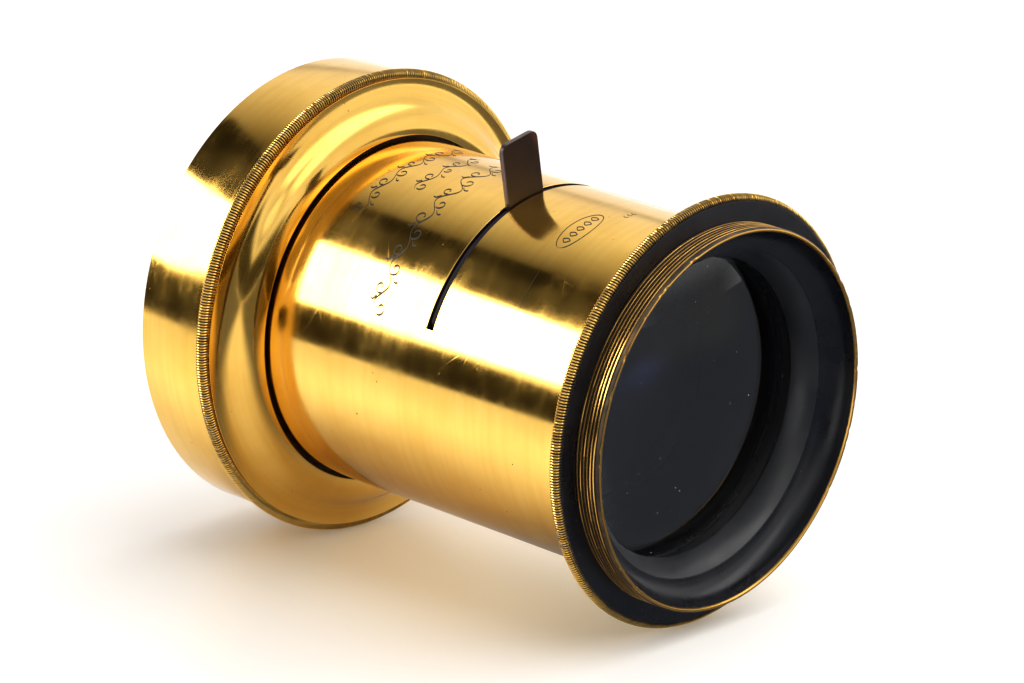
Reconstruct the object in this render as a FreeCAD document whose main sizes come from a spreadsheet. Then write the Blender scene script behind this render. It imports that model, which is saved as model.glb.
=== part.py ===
"""Brass portrait lens with a sliding barrel and a drop-in aperture plate.

The optical axis is the Y axis and the lens looks along -Y. +Z is up, towards the tab of the
aperture plate. The origin is on the axis, in the plane of the rear mounting seat.

Every turned piece is a section revolved about the axis. A section's first number is a radius
and its second a station, the distance behind the plane of the front rim.
"""
import FreeCAD, Part
import math
import os
import re

import Sketcher

DIMENSIONS = {
    # stations along the axis
    "seat_station": 147.0,
    "slot_station": 63.15,
    "face_station": 7.7,
    "lip_station": 116.4,
    "cornice_station": 122.1,
    "bead_station": 124.3,
    "barrel_end": 144.0,
    # radii of the outside
    "nose_radius": 48.5,
    "rim_bore": 47.5,
    "face_radius": 53.4,
    "barrel_radius": 45.0,
    "lip_radius": 46.0,
    "cornice_radius": 59.7,
    "bead_radius": 60.2,
    "shell_radius": 60.0,
    "bead_round": 1.6,
    "ogee_round": 9.8,
    "tube_wall": 1.5,
    "close_fit": 0.02,
    "slack_fit": 0.05,
    "edge_break": 0.3,
    "wide_break": 0.4,
    "thread_break": 0.5,
    "cut_margin": 1.0,
    # the inside of the shoulder
    "skirt_length": 6.0,
    "skirt_step": 0.5,
    "web_reach": 6.0,
    "web_depth": 4.5,
    "lip_thick": 1.1,
    "bead_ledge": 0.1,
    # front cell
    "rim_taper": 0.1,
    "rim_depth": 1.0,
    "cove_radius": 41.9,
    "cove_station": 7.45,
    "cove_round": 6.3,
    "keeper_bore": 39.55,
    "keeper_station": 9.9,
    "keeper_rear": 14.2,
    "keeper_fit": 0.03,
    "keeper_set": 0.1,
    "keeper_lip": 0.45,
    "cell_end": 31.0,
    # glasses
    "front_aperture": 38.2,
    "front_glass": 39.5,
    "front_bed": 0.75,
    "crown_vertex": 8.2,
    "crown_thick": 16.0,
    "flint_thick": 4.0,
    "crown_curve": 132.3,
    "cement_curve": 103.5,
    "flint_curve": 1090.0,
    "rear_aperture": 36.6,
    "rear_glass": 38.0,
    "meniscus_vertex": 136.7,
    "meniscus_thick": 5.5,
    "meniscus_front": 262.0,
    "meniscus_rear": 92.0,
    "back_vertex": 145.6,
    "back_thick": 10.5,
    "back_front": 113.8,
    "back_rear": 373.8,
    # aperture plate and its channel
    "slot_width": 2.2,
    "slot_sweep": 113.0,
    "channel_width": 2.1,
    "guide_bore": 36.5,
    "guide_wall": 1.4,
    "guide_skirt": 9.0,
    "plate_thick": 1.3,
    "plate_half": 36.0,
    "plate_foot": 43.2,
    "aperture_radius": 19.0,
    "tab_half": 6.35,
    "tab_top": 61.6,
    "tab_round": 2.4,
    "spring_thick": 0.35,
    "spring_top": 1.5,
    "spring_foot": 5.0,
    "spring_sweep": 64.0,
    # focusing collar
    "lining_thick": 1.2,
    "lining_gap": 0.06,
    "lining_front": 0.8,
    "lining_rear": 0.4,
    "sleeve_floor": 0.6,
    "guide_front": 119.0,
    "guide_rear": 141.0,
    "plate_depth": 3.0,
    "mount_radius": 54.0,
    "mount_bore": 48.4,
    "mount_length": 5.5,
    "screw_circle": 56.2,
    "screw_radius": 1.0,
    "screw_head": 1.9,
    "screw_length": 5.4,
    "screw_throat": 1.0,
    "screw_count": 6.0,
    # rear cell
    "neck_length": 11.0,
    "flange_radius": 47.6,
    "flange_front": 153.2,
    "rear_end": 158.0,
    "ring_wall": 2.0,
    "ring_depth": 3.5,
    "ring_bed": 0.35,
    "ring_taper": 1.0,
    "seat_taper": 0.3,
}

doc = FreeCAD.newDocument("portrait_lens")
sheet = doc.addObject("Spreadsheet::Sheet", "Sheet")
for row, (alias, value) in enumerate(DIMENSIONS.items(), start=1):
    sheet.set("A%d" % row, alias)
    sheet.set("B%d" % row, str(value))
    sheet.setAlias("B%d" % row, alias)
doc.recompute()

BEZEL_REAR = "face_station + 2 * bead_round"
nodes = []


def value_of(expression):
    """The number that an expression of sheet aliases and plain numbers stands for."""
    if not isinstance(expression, str):
        return float(expression)
    return float(sheet.evalExpression(linked(expression)))


def linked(expression):
    """An expression with each alias written the way an object outside the sheet reads it."""
    def name(match):
        word = match.group()
        return "Sheet." + word if word in DIMENSIONS else word
    return re.sub(r"[a-z_]+", name, expression)


def plane_of(body, role):
    """One of a body's own origin planes."""
    return next(item for item in body.Origin.OriginFeatures if item.Role == role)


def new_body(label, station="0"):
    """An empty body whose section stations count from the front rim, moved back by station."""
    body = doc.addObject("PartDesign::Body", label)
    body.Label = label
    body.setExpression("Placement.Base.y", linked(station + " - seat_station"))
    nodes.append(body)
    return body


def arc_between(start, end, radius, turn):
    """The arc from start to end. turn is 1 where it runs anticlockwise, -1 where clockwise."""
    chord = end - start
    rise = math.sqrt(max(radius ** 2 - (chord.Length / 2) ** 2, 0.0))
    side = FreeCAD.Vector(-chord.y, chord.x, 0).normalize()
    centre = (start + end) / 2 + side * rise * turn
    angles = [math.atan2(point.y - centre.y, point.x - centre.x) for point in (start, end)]
    if turn < 0:
        angles.reverse()
    circle = Part.Circle(centre, FreeCAD.Vector(0, 0, 1), radius)
    return Part.ArcOfCircle(circle, angles[0], angles[1])


def bind(sketch, constraint, expression):
    """Adds a dimension to a sketch and binds it to the sheet."""
    index = sketch.addConstraint(constraint)
    sketch.setExpression("Constraints[%d]" % index, linked(str(expression)))


def draw(sketch, outline):
    """Draws a closed outline of corners (x, y) or (x, y, radius, turn), where radius and turn
    make the edge that leaves the corner an arc, and fixes every corner by the sheet."""
    corners = [FreeCAD.Vector(value_of(corner[0]), value_of(corner[1]), 0) for corner in outline]
    joints = []
    for index, corner in enumerate(outline):
        start = corners[index]
        end = corners[(index + 1) % len(corners)]
        if len(corner) == 2:
            edge = sketch.addGeometry(Part.LineSegment(start, end), False)
            joints.append((edge, 1, 2))
            continue
        arc = arc_between(start, end, value_of(corner[2]), corner[3])
        edge = sketch.addGeometry(arc, False)
        joints.append((edge, 1, 2) if corner[3] > 0 else (edge, 2, 1))
    for index, corner in enumerate(outline):
        edge, first, last = joints[index]
        following, next_first, next_last = joints[(index + 1) % len(joints)]
        sketch.addConstraint(Sketcher.Constraint("Coincident", edge, last, following, next_first))
        for kind, axis, number in (("DistanceX", -2, 0), ("DistanceY", -1, 1)):
            size = value_of(corner[number])
            if abs(size) < 1e-9:
                sketch.addConstraint(Sketcher.Constraint("PointOnObject", edge, first, axis))
            else:
                bind(sketch, Sketcher.Constraint(kind, -1, 1, edge, first, size), corner[number])
        if len(corner) > 2:
            bind(sketch, Sketcher.Constraint("Radius", edge, value_of(corner[2])), corner[2])


def new_sketch(body, name, role, outline):
    """A sketch on one of the body's origin planes."""
    sketch = body.newObject("Sketcher::SketchObject", name)
    sketch.AttachmentSupport = [(plane_of(body, role), "")]
    sketch.MapMode = "FlatFace"
    draw(sketch, outline)
    return sketch


def revolve(body, name, outline):
    """A full turn of a section about the optical axis."""
    sketch = new_sketch(body, name + "_section", "XY_Plane", outline)
    feature = body.newObject("PartDesign::Revolution", name)
    feature.Profile = sketch
    feature.ReferenceAxis = (sketch, ["V_Axis"])
    feature.Angle = 360.0
    sketch.Visibility = False
    return feature


def turned(label, outline):
    """A piece made by one turned section."""
    body = new_body(label)
    revolve(body, label + "_turning", outline)
    return body


def sag(curve, radius):
    """How far a sphere's surface falls back at a radius, as an expression of the sheet."""
    return "(%s - sqrt(%s ^ 2 - %s ^ 2))" % (curve, curve, radius)


def screw_section(body, allowance):
    """Half of a countersunk screw above the axis, grown by an allowance, with its own axis."""
    middle = "screw_circle"
    shank = "screw_circle + screw_radius + " + allowance
    head = "screw_circle + screw_head + " + allowance
    top = "seat_station - slack_fit + " + allowance
    throat = "seat_station - screw_throat"
    foot = "seat_station - screw_length - " + allowance
    sketch = new_sketch(body, "screw_section", "YZ_Plane", [
        (foot, middle), (top, middle), (top, head), (throat, shank), (foot, shank),
    ])
    ends = [FreeCAD.Vector(value_of(station), value_of(middle), 0) for station in (foot, top)]
    axis = sketch.addGeometry(Part.LineSegment(*ends), True)
    sketch.addConstraint(Sketcher.Constraint("Coincident", axis, 1, 0, 1))
    sketch.addConstraint(Sketcher.Constraint("Coincident", axis, 2, 0, 2))
    return sketch


def repeat_round(body, feature):
    """Repeats a feature round the optical axis, once for each screw."""
    pattern = body.newObject("PartDesign::PolarPattern", "screw_ring")
    pattern.Originals = [feature]
    pattern.Axis = (plane_of(body, "Y_Axis"), [""])
    pattern.Angle = 360.0
    pattern.setExpression("Occurrences", linked("screw_count"))
    body.Tip = pattern


def cut_screw_holes(body):
    """Cuts the ring of countersunk screw holes."""
    doc.recompute()
    sketch = screw_section(body, "slack_fit")
    hole = body.newObject("PartDesign::Groove", "screw_hole")
    hole.Profile = sketch
    hole.ReferenceAxis = (sketch, ["Axis0"])
    hole.Angle = 360.0
    repeat_round(body, hole)


def front_cell():
    """The cell that carries the front glasses: hood thread nose, milled bezel and neck."""
    neck = "barrel_radius - tube_wall - slack_fit"
    seat = "crown_vertex + crown_thick + flint_thick + front_bed"
    turned("front_cell", [
        ("rim_bore", "0"),
        ("nose_radius - edge_break", "0"),
        ("nose_radius", "edge_break"),
        ("nose_radius", "face_station"),
        ("face_radius", "face_station", "bead_round", 1),
        ("face_radius + bead_round", "face_station + bead_round", "bead_round", 1),
        ("face_radius", BEZEL_REAR),
        (neck, BEZEL_REAR),
        (neck, "cell_end"),
        ("front_aperture", "cell_end"),
        ("front_aperture", seat),
        ("front_glass + slack_fit", seat),
        ("front_glass + slack_fit", "keeper_rear + slack_fit"),
        ("cove_radius", "keeper_rear + slack_fit"),
        ("cove_radius", "cove_station", "cove_round", -1),
        ("rim_bore - rim_taper", "rim_depth"),
    ])


def front_keeper():
    """The threaded ring that holds the front glasses: a conical face and a tapered bore."""
    turned("front_retaining_ring", [
        ("cove_radius - keeper_fit", "cove_station + keeper_set"),
        ("keeper_bore", "keeper_station"),
        ("front_aperture", "keeper_rear - keeper_lip"),
        ("front_glass", "keeper_rear"),
        ("cove_radius - keeper_fit", "keeper_rear"),
    ])


def front_glasses():
    """The cemented front pair: a biconvex crown and a flint hollowed to match it."""
    rim = "crown_vertex + " + sag("crown_curve", "front_glass")
    cement = "crown_vertex + crown_thick"
    cement_rim = cement + " - " + sag("cement_curve", "front_glass")
    rear = cement + " + flint_thick"
    turned("front_crown_glass", [
        ("0", "crown_vertex", "crown_curve", 1),
        ("front_glass", rim),
        ("front_glass", cement_rim, "cement_curve", 1),
        ("0", cement),
    ])
    turned("front_flint_glass", [
        ("0", cement, "cement_curve", -1),
        ("front_glass", cement_rim),
        ("front_glass", rear + " + " + sag("flint_curve", "front_glass"), "flint_curve", -1),
        ("0", rear),
    ])


def barrel_tube():
    """The plain sliding tube, with the slot for the aperture plate cut through its top."""
    body = new_body("barrel_tube")
    revolve(body, "barrel_turning", [
        ("barrel_radius - tube_wall", BEZEL_REAR),
        ("barrel_radius", BEZEL_REAR),
        ("barrel_radius", "barrel_end"),
        ("barrel_radius - tube_wall", "barrel_end"),
    ])
    sketch = new_sketch(body, "slot_section", "YZ_Plane", [
        ("slot_station - slot_width / 2", "barrel_radius - tube_wall - cut_margin"),
        ("slot_station + slot_width / 2", "barrel_radius - tube_wall - cut_margin"),
        ("slot_station + slot_width / 2", "barrel_radius + cut_margin"),
        ("slot_station - slot_width / 2", "barrel_radius + cut_margin"),
    ])
    slot = body.newObject("PartDesign::Groove", "plate_slot")
    slot.Profile = sketch
    slot.ReferenceAxis = (sketch, ["H_Axis"])
    slot.setExpression("Angle", linked("slot_sweep"))
    slot.Midplane = True


def stop_guides():
    """Two blackened rings inside the tube, which form the channel of the aperture plate."""
    outer = "barrel_radius - tube_wall - close_fit"
    for label, side in (("stop_guide_front", "-"), ("stop_guide_rear", "+")):
        near = "slot_station %s channel_width / 2" % side
        middle = "%s %s guide_wall" % (near, side)
        end = "%s %s guide_skirt" % (near, side)
        turned(label, [
            ("guide_bore", near),
            (outer, near),
            (outer, end),
            (outer + " - guide_wall", end),
            (outer + " - guide_wall", middle),
            ("guide_bore", middle),
        ])


def stop_spring():
    """The leaf in the foot of the channel that keeps the aperture plate from rattling."""
    body = new_body("stop_spring")
    rear = "slot_station + channel_width / 2"
    sketch = new_sketch(body, "spring_section", "YZ_Plane", [
        (rear + " - spring_thick", "-guide_bore - spring_top"),
        (rear, "-guide_bore - spring_top"),
        (rear, "-guide_bore - spring_foot"),
        (rear + " - spring_thick", "-guide_bore - spring_foot"),
    ])
    leaf = body.newObject("PartDesign::Revolution", "spring_leaf")
    leaf.Profile = sketch
    leaf.ReferenceAxis = (sketch, ["H_Axis"])
    leaf.setExpression("Angle", linked("spring_sweep"))
    leaf.Midplane = True


def waterhouse_stop():
    """The drop-in aperture plate: round foot, straight sides, a round hole and a tall tab."""
    body = new_body("waterhouse_stop", "slot_station")
    foot = "-sqrt(plate_foot ^ 2 - plate_half ^ 2)"
    shoulder = "sqrt(barrel_radius ^ 2 - plate_half ^ 2)"
    root = "sqrt(barrel_radius ^ 2 - tab_half ^ 2)"
    sketch = new_sketch(body, "plate_outline", "XZ_Plane", [
        ("-plate_half", foot, "plate_foot", 1),
        ("plate_half", foot),
        ("plate_half", shoulder, "barrel_radius", 1),
        ("tab_half", root),
        ("tab_half", "tab_top - tab_round", "tab_round", 1),
        ("tab_half - tab_round", "tab_top"),
        ("-tab_half + tab_round", "tab_top", "tab_round", 1),
        ("-tab_half", "tab_top - tab_round"),
        ("-tab_half", root, "barrel_radius", 1),
        ("-plate_half", shoulder),
    ])
    hole = Part.Circle(FreeCAD.Vector(), FreeCAD.Vector(0, 0, 1), value_of("aperture_radius"))
    edge = sketch.addGeometry(hole, False)
    sketch.addConstraint(Sketcher.Constraint("Coincident", edge, 3, -1, 1))
    bind(sketch, Sketcher.Constraint("Radius", edge, value_of("aperture_radius")), "aperture_radius")
    plate = body.newObject("PartDesign::Pad", "plate")
    plate.Profile = sketch
    plate.setExpression("Length", linked("plate_thick"))
    plate.Midplane = True


def rear_cell():
    """The cell that carries the rear glasses. Its flange stops the tube from leaving the collar."""
    neck = "barrel_radius - tube_wall - slack_fit"
    seat = "meniscus_vertex + " + sag("meniscus_front", "rear_glass")
    turned("rear_cell", [
        ("rear_aperture", "barrel_end - neck_length"),
        (neck, "barrel_end - neck_length"),
        (neck, "barrel_end"),
        ("barrel_radius - edge_break", "barrel_end"),
        ("barrel_radius - edge_break", "flange_front"),
        ("flange_radius", "flange_front"),
        ("flange_radius", "rear_end"),
        ("rear_glass + ring_wall", "rear_end"),
        ("rear_glass + ring_wall", "rear_end - ring_depth"),
        ("rear_glass + slack_fit", "rear_end - ring_depth"),
        ("rear_glass + slack_fit", seat),
        ("rear_aperture", seat + " - seat_taper"),
    ])


def rear_glasses():
    """The air-spaced rear pair with its spacing ring and the ring that keeps it in the cell."""
    front_rim = "meniscus_vertex + " + sag("meniscus_front", "rear_glass")
    inner = "meniscus_vertex + meniscus_thick"
    inner_rim = inner + " + " + sag("meniscus_rear", "rear_glass")
    back_rim = "back_vertex + " + sag("back_front", "rear_glass")
    back = "back_vertex + back_thick"
    end_rim = back + " - " + sag("back_rear", "rear_glass")
    turned("rear_flint_glass", [
        ("0", "meniscus_vertex", "meniscus_front", 1),
        ("rear_glass", front_rim),
        ("rear_glass", inner_rim, "meniscus_rear", -1),
        ("0", inner),
    ])
    turned("rear_spacer_ring", [
        ("rear_aperture", inner_rim),
        ("rear_glass", inner_rim),
        ("rear_glass", back_rim + " - close_fit"),
        ("rear_aperture", "back_vertex + " + sag("back_front", "rear_aperture") + " - close_fit"),
    ])
    turned("rear_crown_glass", [
        ("0", "back_vertex", "back_front", 1),
        ("rear_glass", back_rim),
        ("rear_glass", end_rim, "back_rear", 1),
        ("0", back),
    ])
    turned("rear_retaining_ring", [
        ("rear_aperture", end_rim + " + ring_bed"),
        ("rear_glass + ring_wall - slack_fit", end_rim + " + ring_bed"),
        ("rear_glass + ring_wall - slack_fit", "rear_end"),
        ("rear_aperture + ring_taper", "rear_end"),
    ])


def collar_shell():
    """The large plain brass cylinder round the focusing collar."""
    turned("collar_shell", [
        ("shell_radius - tube_wall", "bead_station + bead_round"),
        ("shell_radius", "bead_station + bead_round"),
        ("shell_radius", "seat_station - wide_break"),
        ("shell_radius - wide_break", "seat_station"),
        ("shell_radius - tube_wall", "seat_station"),
    ])


def shoulder_ring():
    """The front of the collar: an ogee from the mouth out to a milled bead, and a short skirt."""
    bend = "(lip_radius + cornice_radius) / 2"
    half = "(lip_station + cornice_station) / 2"
    skirt = "shell_radius - tube_wall - close_fit"
    turned("shoulder_ring", [
        ("lip_radius", "lip_station", "ogee_round", 1),
        (bend, half, "ogee_round", -1),
        ("cornice_radius", "cornice_station"),
        ("cornice_radius + bead_ledge", "bead_station - bead_round"),
        ("bead_radius", "bead_station - bead_round", "bead_round", 1),
        ("bead_radius + bead_round", "bead_station", "bead_round", 1),
        ("bead_radius", "bead_station + bead_round"),
        (skirt, "bead_station + bead_round"),
        (skirt, "bead_station + skirt_length"),
        (skirt + " - tube_wall", "bead_station + skirt_length"),
        (skirt + " - tube_wall", "bead_station + skirt_step"),
        ("lip_radius + web_reach", "lip_station + web_depth"),
        ("lip_radius", "lip_station + lip_thick"),
    ])


def guide_sleeve():
    """The inner sleeve that carries the barrel, with the flange that closes it to the mount."""
    bore = "barrel_radius + lining_gap + lining_thick"
    turned("guide_sleeve", [
        (bore, "guide_front"),
        (bore + " + tube_wall", "guide_front"),
        (bore + " + tube_wall", "guide_rear"),
        ("shell_radius - tube_wall - close_fit", "guide_rear"),
        ("shell_radius - tube_wall - close_fit", "guide_rear + plate_depth"),
        ("mount_bore", "guide_rear + plate_depth"),
        ("mount_bore", "guide_rear + sleeve_floor"),
        (bore, "guide_rear + sleeve_floor"),
    ])
    cut_screw_holes(nodes[-1])


def sleeve_lining():
    """The velvet that lines the sleeve and grips the barrel."""
    bore = "barrel_radius + lining_gap"
    turned("sleeve_lining", [
        (bore, "guide_front - lining_front"),
        (bore + " + lining_thick", "guide_front - lining_front"),
        (bore + " + lining_thick", "guide_rear + lining_rear"),
        (bore, "guide_rear + lining_rear"),
    ])


def mount_ring():
    """The back of the collar: the plate that seats on the camera and the mounting thread."""
    turned("mount_ring", [
        ("mount_bore", "guide_rear + plate_depth"),
        ("shell_radius - tube_wall - close_fit", "guide_rear + plate_depth"),
        ("shell_radius - tube_wall - close_fit", "seat_station"),
        ("mount_radius", "seat_station"),
        ("mount_radius", "seat_station + mount_length - thread_break"),
        ("mount_radius - thread_break", "seat_station + mount_length"),
        ("mount_bore", "seat_station + mount_length"),
    ])
    cut_screw_holes(nodes[-1])


def mount_screws():
    """The countersunk screws that hold the mount plate to the flange of the inner sleeve."""
    body = new_body("mount_screws")
    body.AllowCompound = True
    sketch = screw_section(body, "0")
    screw = body.newObject("PartDesign::Revolution", "screw")
    screw.Profile = sketch
    screw.ReferenceAxis = (sketch, ["Axis0"])
    screw.Angle = 360.0
    repeat_round(body, screw)


for make in (
    collar_shell, shoulder_ring, guide_sleeve, sleeve_lining, mount_ring, mount_screws,
    barrel_tube, front_cell, front_keeper, front_glasses,
    stop_guides, stop_spring, waterhouse_stop,
    rear_cell, rear_glasses,
):
    make()

doc.recompute()
for item in doc.Objects:
    if "Invalid" in item.State or "Error" in item.State:
        raise RuntimeError("%s failed: %s" % (item.Name, item.State))

os.makedirs("parts", exist_ok=True)
for node in nodes:
    if node.Shape.isNull() or not node.Shape.isValid():
        raise RuntimeError("%s has no valid shape" % node.Label)
    node.Shape.exportStep("parts/%s.step" % node.Label)
    print("%-22s %2d solids %10.1f mm3" % (node.Label, len(node.Shape.Solids), node.Shape.Volume))
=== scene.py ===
"""Looks of a brass portrait lens: turned brass, black lacquer and old glass in a pale studio.

Lengths on the lens are millimetres, which MM turns into metres, and the studio is in metres. A
turned piece has a section of (radius, station) points, where a station is the distance behind
the plane of the front rim. An angle round the axis starts at the tab (+Z) and goes towards -X.
"""

import math
import random

import bmesh
import bpy
import numpy as np
from mathutils import Matrix, Vector


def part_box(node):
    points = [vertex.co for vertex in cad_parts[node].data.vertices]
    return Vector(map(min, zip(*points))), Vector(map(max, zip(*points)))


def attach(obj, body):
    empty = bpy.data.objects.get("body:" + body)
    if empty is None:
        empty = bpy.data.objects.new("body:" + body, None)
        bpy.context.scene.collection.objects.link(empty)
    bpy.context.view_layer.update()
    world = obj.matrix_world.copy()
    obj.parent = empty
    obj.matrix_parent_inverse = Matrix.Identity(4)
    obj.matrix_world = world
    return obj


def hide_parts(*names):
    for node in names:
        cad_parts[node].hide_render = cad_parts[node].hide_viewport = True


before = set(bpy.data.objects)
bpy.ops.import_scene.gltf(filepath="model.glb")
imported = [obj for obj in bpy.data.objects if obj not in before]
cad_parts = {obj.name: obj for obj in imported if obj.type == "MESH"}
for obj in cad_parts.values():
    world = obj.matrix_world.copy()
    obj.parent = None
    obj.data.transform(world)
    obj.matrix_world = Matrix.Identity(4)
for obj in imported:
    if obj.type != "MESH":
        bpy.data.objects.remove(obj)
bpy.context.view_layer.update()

MM = 0.001


def node_size(node):
    """A CAD node's outer radius, first station and last station."""
    low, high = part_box(node)
    return max(high.x, high.z) / MM, (low.y - FRONT) / MM, (high.y - FRONT) / MM


# Driving sizes, from the CAD frame
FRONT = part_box("front_cell")[0].y
BEZEL_MAX, _, CELL_END = node_size("front_cell")
BARREL, BEZEL_REAR, BARREL_END = node_size("barrel_tube")
BEAD_MAX, LIP_STATION, SKIRT_END = node_size("shoulder_ring")
SHELL, BEAD_REAR, SEAT = node_size("collar_shell")
MOUNT_PLATE, PLATE_FRONT, MOUNT_END = node_size("mount_ring")
GUIDE, GUIDE_FRONT, GUIDE_REAR = node_size("guide_sleeve")
KEEPER, KEEPER_FRONT, KEEPER_REAR = node_size("front_retaining_ring")
CROWN, CROWN_VERTEX, _ = node_size("front_crown_glass")
_, _, FLINT_REAR = node_size("front_flint_glass")
FLANGE, REAR_NECK_FRONT, REAR_END = node_size("rear_cell")
REAR_KEEPER, REAR_KEEPER_FRONT, _ = node_size("rear_retaining_ring")
REAR_GLASS, MENISCUS_VERTEX, _ = node_size("rear_flint_glass")
_, BACK_VERTEX, BACK_END = node_size("rear_crown_glass")
TAB_TOP, PLATE_FRONT_FACE, PLATE_REAR_FACE = node_size("waterhouse_stop")
_, SCREW_FOOT, SCREW_TOP = node_size("mount_screws")

# Sizes that the frame's boxes don't give
BEAD_ROUND = 1.6
TUBE_WALL = 1.5
NOSE = 48.5
NOSE_BORE = 47.5
COVE_FOOT = 41.9
COVE_STATION = 7.45
COVE_ROUND = 6.3
GLASS_CLEAR = 38.2
REAR_CLEAR = 36.6
KEEPER_EDGE = 39.55
KEEPER_EDGE_STATION = 9.9
LIP = 46.0
CORNICE = 59.7
CORNICE_STATION = 122.1
OGEE_ROUND = 9.8
MOUNT_THREAD = 54.0
MOUNT_BORE = 48.4
SLOT_STATION = (PLATE_FRONT_FACE + PLATE_REAR_FACE) / 2
SLOT_WIDTH = 2.2
SLOT_HALF_SWEEP = 56.5
TAB_HALF = 6.35
TAB_ROUND = 2.4
PLATE_HALF = 36.0
PLATE_FOOT = 43.2
APERTURE = 19.0
SCREW_CIRCLE = 56.2
SCREW_HEAD = 1.9
SCREW_COUNT = 6
BEZEL_RIDGES = 475
COLLAR_RIDGES = 536
THREAD_PITCH = 1.06
CROWN_CURVE = 132.3
PAIR_BACK = 28.2
PAIR_BACK_CURVE = 1090.0
MENISCUS_CURVES = (262.0, 92.0)
REAR_CURVES = (113.8, 373.8)
FACE_STATION = BEZEL_REAR - 2 * BEAD_ROUND
BEZEL_CENTRE = BEZEL_MAX - BEAD_ROUND
BEAD_CENTRE = BEAD_MAX - BEAD_ROUND
BEAD_STATION = BEAD_REAR - BEAD_ROUND
PER_DEGREE = BARREL * math.pi / 180

# Studio
FLOOR_ROLL = 12.4
CAMERA_AT = Vector((-0.7338, -0.8312, 0.5388))
CAMERA_LOOK = Vector((0.6200, 0.6402, -0.4536)).normalized()
CAMERA_UP = Vector((0.3971, 0.2425, 0.8852)).normalized()
CAMERA_LENS = 164.16
CENTRE = Vector((0.0, FRONT * 0.5, 0.0))
FLOOR_REACH = 5.0
OVERHEAD = 3.05


# Node materials


class Nodes:
    """A short way to write a node tree: a call adds nodes and returns an output."""

    def __init__(self, owner):
        owner.use_nodes = True
        self.owner, self.tree = owner, owner.node_tree
        self.tree.nodes.clear()

    def add(self, kind, inputs=None, output=0, **settings):
        node = self.tree.nodes.new("ShaderNode" + kind)
        for key, value in settings.items():
            setattr(node, key, value)
        for key, value in (inputs or {}).items():
            if isinstance(value, bpy.types.NodeSocket):
                self.tree.links.new(value, node.inputs[key])
            else:
                node.inputs[key].default_value = value
        return node.outputs[output] if len(node.outputs) else None

    def math(self, operation, *values):
        return self.add("Math", dict(enumerate(values)), operation=operation)

    def times(self, first, second):
        return self.math("MULTIPLY", first, second)

    def plus(self, first, second):
        return self.math("ADD", first, second)

    def vector(self, x, y, z):
        return self.add("CombineXYZ", {0: x, 1: y, 2: z})

    def parts(self, vector):
        """The x, y and z of a vector."""
        return self.add("SeparateXYZ", {0: vector}).node.outputs

    def stretched(self, vector, *factors):
        return self.add("VectorMath", {0: vector, 1: factors}, operation="MULTIPLY")

    def place(self):
        """The place on the piece, in metres in the frame."""
        return self.add("TexCoord", output=3)

    def noise(self, vector, scale, detail=2.0, rough=0.5):
        return self.add("TexNoise", {"Vector": vector, "Scale": scale, "Detail": detail,
                                     "Roughness": rough})

    def between(self, value, low, high, start=0.0, end=1.0):
        """value mapped smoothly from low..high to start..end, and clamped."""
        return self.add("MapRange", {"Value": value, "From Min": low, "From Max": high,
                                     "To Min": start, "To Max": end},
                        interpolation_type="SMOOTHSTEP")

    def specks(self, place, size, near, far, spread, low, high, level=1.0):
        """Small round marks, at most one to a cell, only where a broad noise is high."""
        cell = self.add("TexVoronoi", {"Vector": place, "Scale": size})
        marks = self.between(cell, near, far, level, 0.0)
        return self.times(marks, self.between(self.noise(place, spread), low, high))

    def mix(self, share, first, second):
        """A colour mixed from two by share."""
        return self.add("Mix", {0: share, 6: first, 7: second}, output=2, data_type="RGBA")

    def bump(self, height, distance, normal=None):
        inputs = {"Height": height, "Distance": distance, "Strength": 1.0}
        if normal is not None:
            inputs["Normal"] = normal
        return self.add("Bump", inputs)

    def principled(self, **inputs):
        """The Principled shader. Input names use _ for a space."""
        return self.add("BsdfPrincipled", {k.replace("_", " "): v for k, v in inputs.items()})

    def blend(self, share, first, second):
        """A shader mixed from two by share."""
        return self.add("MixShader", {0: share, 1: first, 2: second})

    def surface(self, shader):
        """The material's output. Gives back the finished material."""
        self.add("OutputMaterial", {"Surface": shader})
        return self.owner


def colour(red, green, blue):
    return (red, green, blue, 1.0)


def new_nodes(name):
    """The empty node tree of a new material."""
    return Nodes(bpy.data.materials.new(name))


class Turned:
    """The place on a turned piece, and textures that follow its turning."""

    def __init__(self, nodes):
        self.nodes = nodes
        self.place = nodes.place()
        x, self.along, z = nodes.parts(self.place)
        radius = nodes.math("SQRT", nodes.plus(nodes.times(x, x), nodes.times(z, z)))
        self.round_x = nodes.math("DIVIDE", x, radius)
        self.round_z = nodes.math("DIVIDE", z, radius)
        self.run = nodes.plus(self.along, radius)
        self.angle = nodes.math("ARCTAN2", nodes.times(x, -1.0), z)

    def rings(self, around, along, detail=2.0, rough=0.5):
        """Noise that changes slowly round the piece and fast along its section."""
        nodes = self.nodes
        vector = nodes.vector(nodes.times(self.round_x, around), nodes.times(self.run, along),
                              nodes.times(self.round_z, around))
        return nodes.noise(vector, 1.0, detail, rough)

    def scratches(self, turn, size, width, stretch):
        """Thin straight lines: the edges of long narrow cells, laid at an angle."""
        nodes = self.nodes
        flat = nodes.vector(nodes.times(self.angle, BARREL * MM), self.along, 0.0)
        laid = nodes.add("VectorRotate", {"Vector": flat, "Angle": math.radians(turn)},
                         rotation_type="Z_AXIS")
        cells = nodes.stretched(laid, 1.0, stretch, 1.0)
        edge = nodes.add("TexVoronoi", {"Vector": cells, "Scale": size},
                         feature="DISTANCE_TO_EDGE", voronoi_dimensions="2D")
        return nodes.between(edge, 0.0, width, 1.0, 0.0)


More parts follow.
